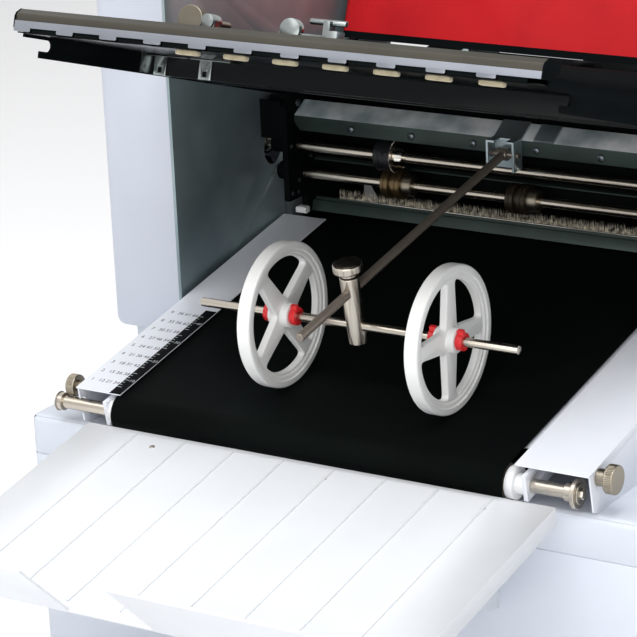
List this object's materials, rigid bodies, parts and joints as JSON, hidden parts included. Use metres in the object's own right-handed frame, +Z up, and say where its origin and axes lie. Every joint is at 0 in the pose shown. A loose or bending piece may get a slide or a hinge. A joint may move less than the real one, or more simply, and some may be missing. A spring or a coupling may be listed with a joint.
{
  "type": "paper folding machine",
  "caption": "Desk paper folding machine: side housings, slotted fold plates, geared rollers, pitched belt conveyor, stacker wheels on a rod and a lipped catch tray.",
  "frame": {"origin": "on the desk, in the middle of the base cabinet's four feet", "axes": "+X to the operator's right, +Y from the catch tray to the feed table, +Z up"},
  "size_m": [0.676, 1.2192, 0.6864],
  "materials": {
    "base_paint": "satin",
    "housing_paint": "satin",
    "rubber_black": "matte",
    "zinc": "zinc plated",
    "black_steel": "satin",
    "bearing_steel": "ground",
    "screw_steel": "plated",
    "belt_black": "satin",
    "deck_white": "satin",
    "nylon_white": "satin",
    "shaft_steel": "ground",
    "knurled_steel": "knurled",
    "tool_black": "satin",
    "wheel_grey": "satin",
    "clip_red": "gloss",
    "plate_black": "satin",
    "bar_dark": "gloss",
    "felt": "felt",
    "table_white": "satin",
    "cover_red": "gloss",
    "motor_black": "satin",
    "drive_rubber": "matte",
    "tray_grey": "satin",
    "panel_grey": "satin",
    "button_green": "gloss",
    "button_red": "gloss",
    "dial_black": "satin",
    "roller_rubber": "matte"
  },
  "bodies": {
    "frame": {"base_cabinet": "base_paint", "base_feet": "rubber_black", "left_housing": "housing_paint", "right_housing": "housing_paint", "side_plates": "zinc", "roller_frames": "black_steel", "roller_bearings": "bearing_steel", "frame_screws": "screw_steel", "wheel_rail": "zinc", "rod_bracket": "zinc", "exit_guides": "zinc", "static_brush": "black_steel", "conveyor_frame": "deck_white", "conveyor_belt": "belt_black", "left_scale_plate": "deck_white", "right_deck_plate": "deck_white", "belt_bushes": "nylon_white", "lower_fold_plate": "black_steel", "feed_table": "table_white", "drive_motor": "motor_black", "drive_belts": "drive_rubber", "catch_tray": "tray_grey", "control_panel": "panel_grey", "mains_inlet": "dial_black"},
    "front_roller": {"front_roller": "shaft_steel"},
    "rear_roller": {"rear_roller": "shaft_steel"},
    "left_thumbscrew": {"left_thumbscrew": "knurled_steel"},
    "right_thumbscrew": {"right_thumbscrew": "knurled_steel"},
    "fold_roller_1": {"fold_roller_1": "roller_rubber"},
    "fold_roller_2": {"fold_roller_2": "roller_rubber"},
    "fold_roller_3": {"fold_roller_3": "roller_rubber"},
    "fold_roller_4": {"fold_roller_4": "roller_rubber"},
    "tool_upper": {"tool_shaft_upper": "shaft_steel", "perforating_blade": "tool_black"},
    "tool_lower": {"tool_shaft_lower": "shaft_steel", "counter_collars": "bearing_steel"},
    "stacker_arm": {"stacker_rod": "shaft_steel"},
    "stacker_carriage": {"stacker_post": "shaft_steel", "wheel_shaft": "shaft_steel"},
    "post_knob": {"post_knob": "knurled_steel"},
    "left_clips": {"left_wheel_clips": "clip_red"},
    "right_clips": {"right_wheel_clips": "clip_red"},
    "left_wheel": {"left_wheel": "wheel_grey"},
    "right_wheel": {"right_wheel": "wheel_grey"},
    "fold_plate": {"fold_plate_arms": "plate_black", "fold_plate_sheets": "plate_black", "fold_plate_bar": "bar_dark", "felt_pads": "felt", "plate_brackets": "screw_steel"},
    "paper_stop": {"paper_stop": "black_steel"},
    "stop_knob": {"stop_knob": "knurled_steel"},
    "feed_roller": {"feed_roller": "roller_rubber"},
    "left_guide": {"left_guide": "zinc"},
    "right_guide": {"right_guide": "zinc"},
    "red_cover": {"red_cover": "cover_red"},
    "motor_pulley": {"motor_pulley": "screw_steel"},
    "start_button": {"start_button": "button_green"},
    "stop_button": {"stop_button": "button_red"},
    "speed_dial": {"speed_dial": "dial_black"},
    "power_rocker": {"power_rocker": "dial_black"}
  },
  "joints": [
    {"name": "fold_roller_2_spin", "type": "hinge", "parent": "frame", "child": "fold_roller_2", "pos_m": [0, 0.12066, 0.44994], "axis": [1, 0, 0], "continuous": true},
    {"name": "fold_roller_1_spin", "type": "hinge", "parent": "frame", "child": "fold_roller_1", "pos_m": [0, 0.13131, 0.4837], "axis": [1, 0, 0], "continuous": true},
    {"name": "fold_roller_3_spin", "type": "hinge", "parent": "frame", "child": "fold_roller_3", "pos_m": [0, 0.09234, 0.4287], "axis": [1, 0, 0], "continuous": true},
    {"name": "fold_roller_4_spin", "type": "hinge", "parent": "frame", "child": "fold_roller_4", "pos_m": [0, 0.09837, 0.39382], "axis": [1, 0, 0], "continuous": true},
    {"name": "tool_upper_spin", "type": "hinge", "parent": "frame", "child": "tool_upper", "pos_m": [0, 0.04058, 0.42123], "axis": [1, 0, 0], "continuous": true},
    {"name": "tool_lower_spin", "type": "hinge", "parent": "frame", "child": "tool_lower", "pos_m": [0, 0.04968, 0.39093], "axis": [1, 0, 0], "continuous": true},
    {"name": "rear_roller_spin", "type": "hinge", "parent": "frame", "child": "rear_roller", "pos_m": [0, 0.06478, 0.33003], "axis": [1, 0, 0], "continuous": true},
    {"name": "front_roller_spin", "type": "hinge", "parent": "frame", "child": "front_roller", "pos_m": [0, -0.30063, 0.26032], "axis": [1, 0, 0], "continuous": true},
    {"name": "feed_roller_spin", "type": "hinge", "parent": "frame", "child": "feed_roller", "pos_m": [0, 0.19859, 0.4691], "axis": [1, 0, 0], "continuous": true},
    {"name": "motor_spin", "type": "hinge", "parent": "frame", "child": "motor_pulley", "pos_m": [0, 0.12598, 0.32303], "axis": [1, 0, 0], "continuous": true},
    {"name": "left_thumbscrew_turn", "type": "hinge", "parent": "frame", "child": "left_thumbscrew", "pos_m": [0, -0.291, 0.27386], "axis": [1, 0, 0], "continuous": true},
    {"name": "right_thumbscrew_turn", "type": "hinge", "parent": "frame", "child": "right_thumbscrew", "pos_m": [0, -0.291, 0.27386], "axis": [1, 0, 0], "continuous": true},
    {"name": "stacker_swing", "type": "hinge", "parent": "frame", "child": "stacker_arm", "pos_m": [0.0043, 0.0238, 0.44081], "axis": [-1, 0, 0], "range_deg": [0, 22]},
    {"name": "stacker_slide", "type": "slide", "parent": "stacker_arm", "child": "stacker_carriage", "axis": [0, 0.9823, 0.1874], "range_m": [-0.05, 0.12]},
    {"name": "post_knob_turn", "type": "hinge", "parent": "stacker_carriage", "child": "post_knob", "pos_m": [0.0043, -0.25543, 0.4023], "axis": [0, -0.1874, 0.9823], "continuous": true},
    {"name": "left_clips_slide", "type": "slide", "parent": "stacker_carriage", "child": "left_clips", "axis": [1, 0, 0], "range_m": [-0.06, 0.04]},
    {"name": "right_clips_slide", "type": "slide", "parent": "stacker_carriage", "child": "right_clips", "axis": [1, 0, 0], "range_m": [-0.05, 0.045]},
    {"name": "left_wheel_spin", "type": "hinge", "parent": "left_clips", "child": "left_wheel", "pos_m": [0, -0.24649, 0.35545], "axis": [1, 0, 0], "continuous": true},
    {"name": "right_wheel_spin", "type": "hinge", "parent": "right_clips", "child": "right_wheel", "pos_m": [0, -0.24649, 0.35545], "axis": [1, 0, 0], "continuous": true},
    {"name": "fold_plate_lift", "type": "hinge", "parent": "frame", "child": "fold_plate", "pos_m": [0, 0.10388, 0.46392], "axis": [-1, 0, 0], "range_deg": [0, 28]},
    {"name": "paper_stop_slide", "type": "slide", "parent": "fold_plate", "child": "paper_stop", "axis": [0, 0.9537, -0.3007], "range_m": [-0.095, 0.115]},
    {"name": "stop_knob_turn", "type": "hinge", "parent": "fold_plate", "child": "stop_knob", "pos_m": [-0.102, -0.31838, 0.63114], "axis": [0, 0.9537, -0.3007], "continuous": true},
    {"name": "right_guide_slide", "type": "slide", "parent": "frame", "child": "right_guide", "axis": [1, 0, 0], "range_m": [-0.09, 0]},
    {"name": "left_guide_slide", "type": "slide", "parent": "frame", "child": "left_guide", "axis": [-1, 0, 0], "range_m": [-0.09, 0]},
    {"name": "red_cover_lift", "type": "hinge", "parent": "frame", "child": "red_cover", "pos_m": [0, 0.25398, 0.59803], "axis": [-1, 0, 0], "range_deg": [0, 60]},
    {"name": "start_press", "type": "slide", "parent": "frame", "child": "start_button", "axis": [0, 0, 1], "range_m": [-0.002, 0], "stiffness_N_per_m": 400, "springref_m": 0.002},
    {"name": "stop_press", "type": "slide", "parent": "frame", "child": "stop_button", "axis": [0, 0, 1], "range_m": [-0.002, 0], "stiffness_N_per_m": 400, "springref_m": 0.002},
    {"name": "dial_turn", "type": "hinge", "parent": "frame", "child": "speed_dial", "pos_m": [0.301, 0.1, 0.674], "axis": [0, 0, 1], "range_deg": [-140, 140]},
    {"name": "rocker_tip", "type": "hinge", "parent": "frame", "child": "power_rocker", "pos_m": [0.23, 0.294, 0.1008], "axis": [1, 0, 0], "range_deg": [-7, 7]}
  ],
  "couplings": [
    {"joint": "fold_roller_1_spin", "follows": "fold_roller_2_spin", "ratio": -1},
    {"joint": "fold_roller_3_spin", "follows": "fold_roller_2_spin", "ratio": -1},
    {"joint": "fold_roller_4_spin", "follows": "fold_roller_2_spin", "ratio": 1},
    {"joint": "tool_upper_spin", "follows": "fold_roller_2_spin", "ratio": -1},
    {"joint": "tool_lower_spin", "follows": "fold_roller_2_spin", "ratio": 1},
    {"joint": "rear_roller_spin", "follows": "fold_roller_2_spin", "ratio": 0.5},
    {"joint": "front_roller_spin", "follows": "fold_roller_2_spin", "ratio": 0.5},
    {"joint": "feed_roller_spin", "follows": "fold_roller_2_spin", "ratio": -1},
    {"joint": "motor_spin", "follows": "fold_roller_2_spin", "ratio": 2.4},
    {"joint": "left_guide_slide", "follows": "right_guide_slide", "ratio": 1}
  ]
}
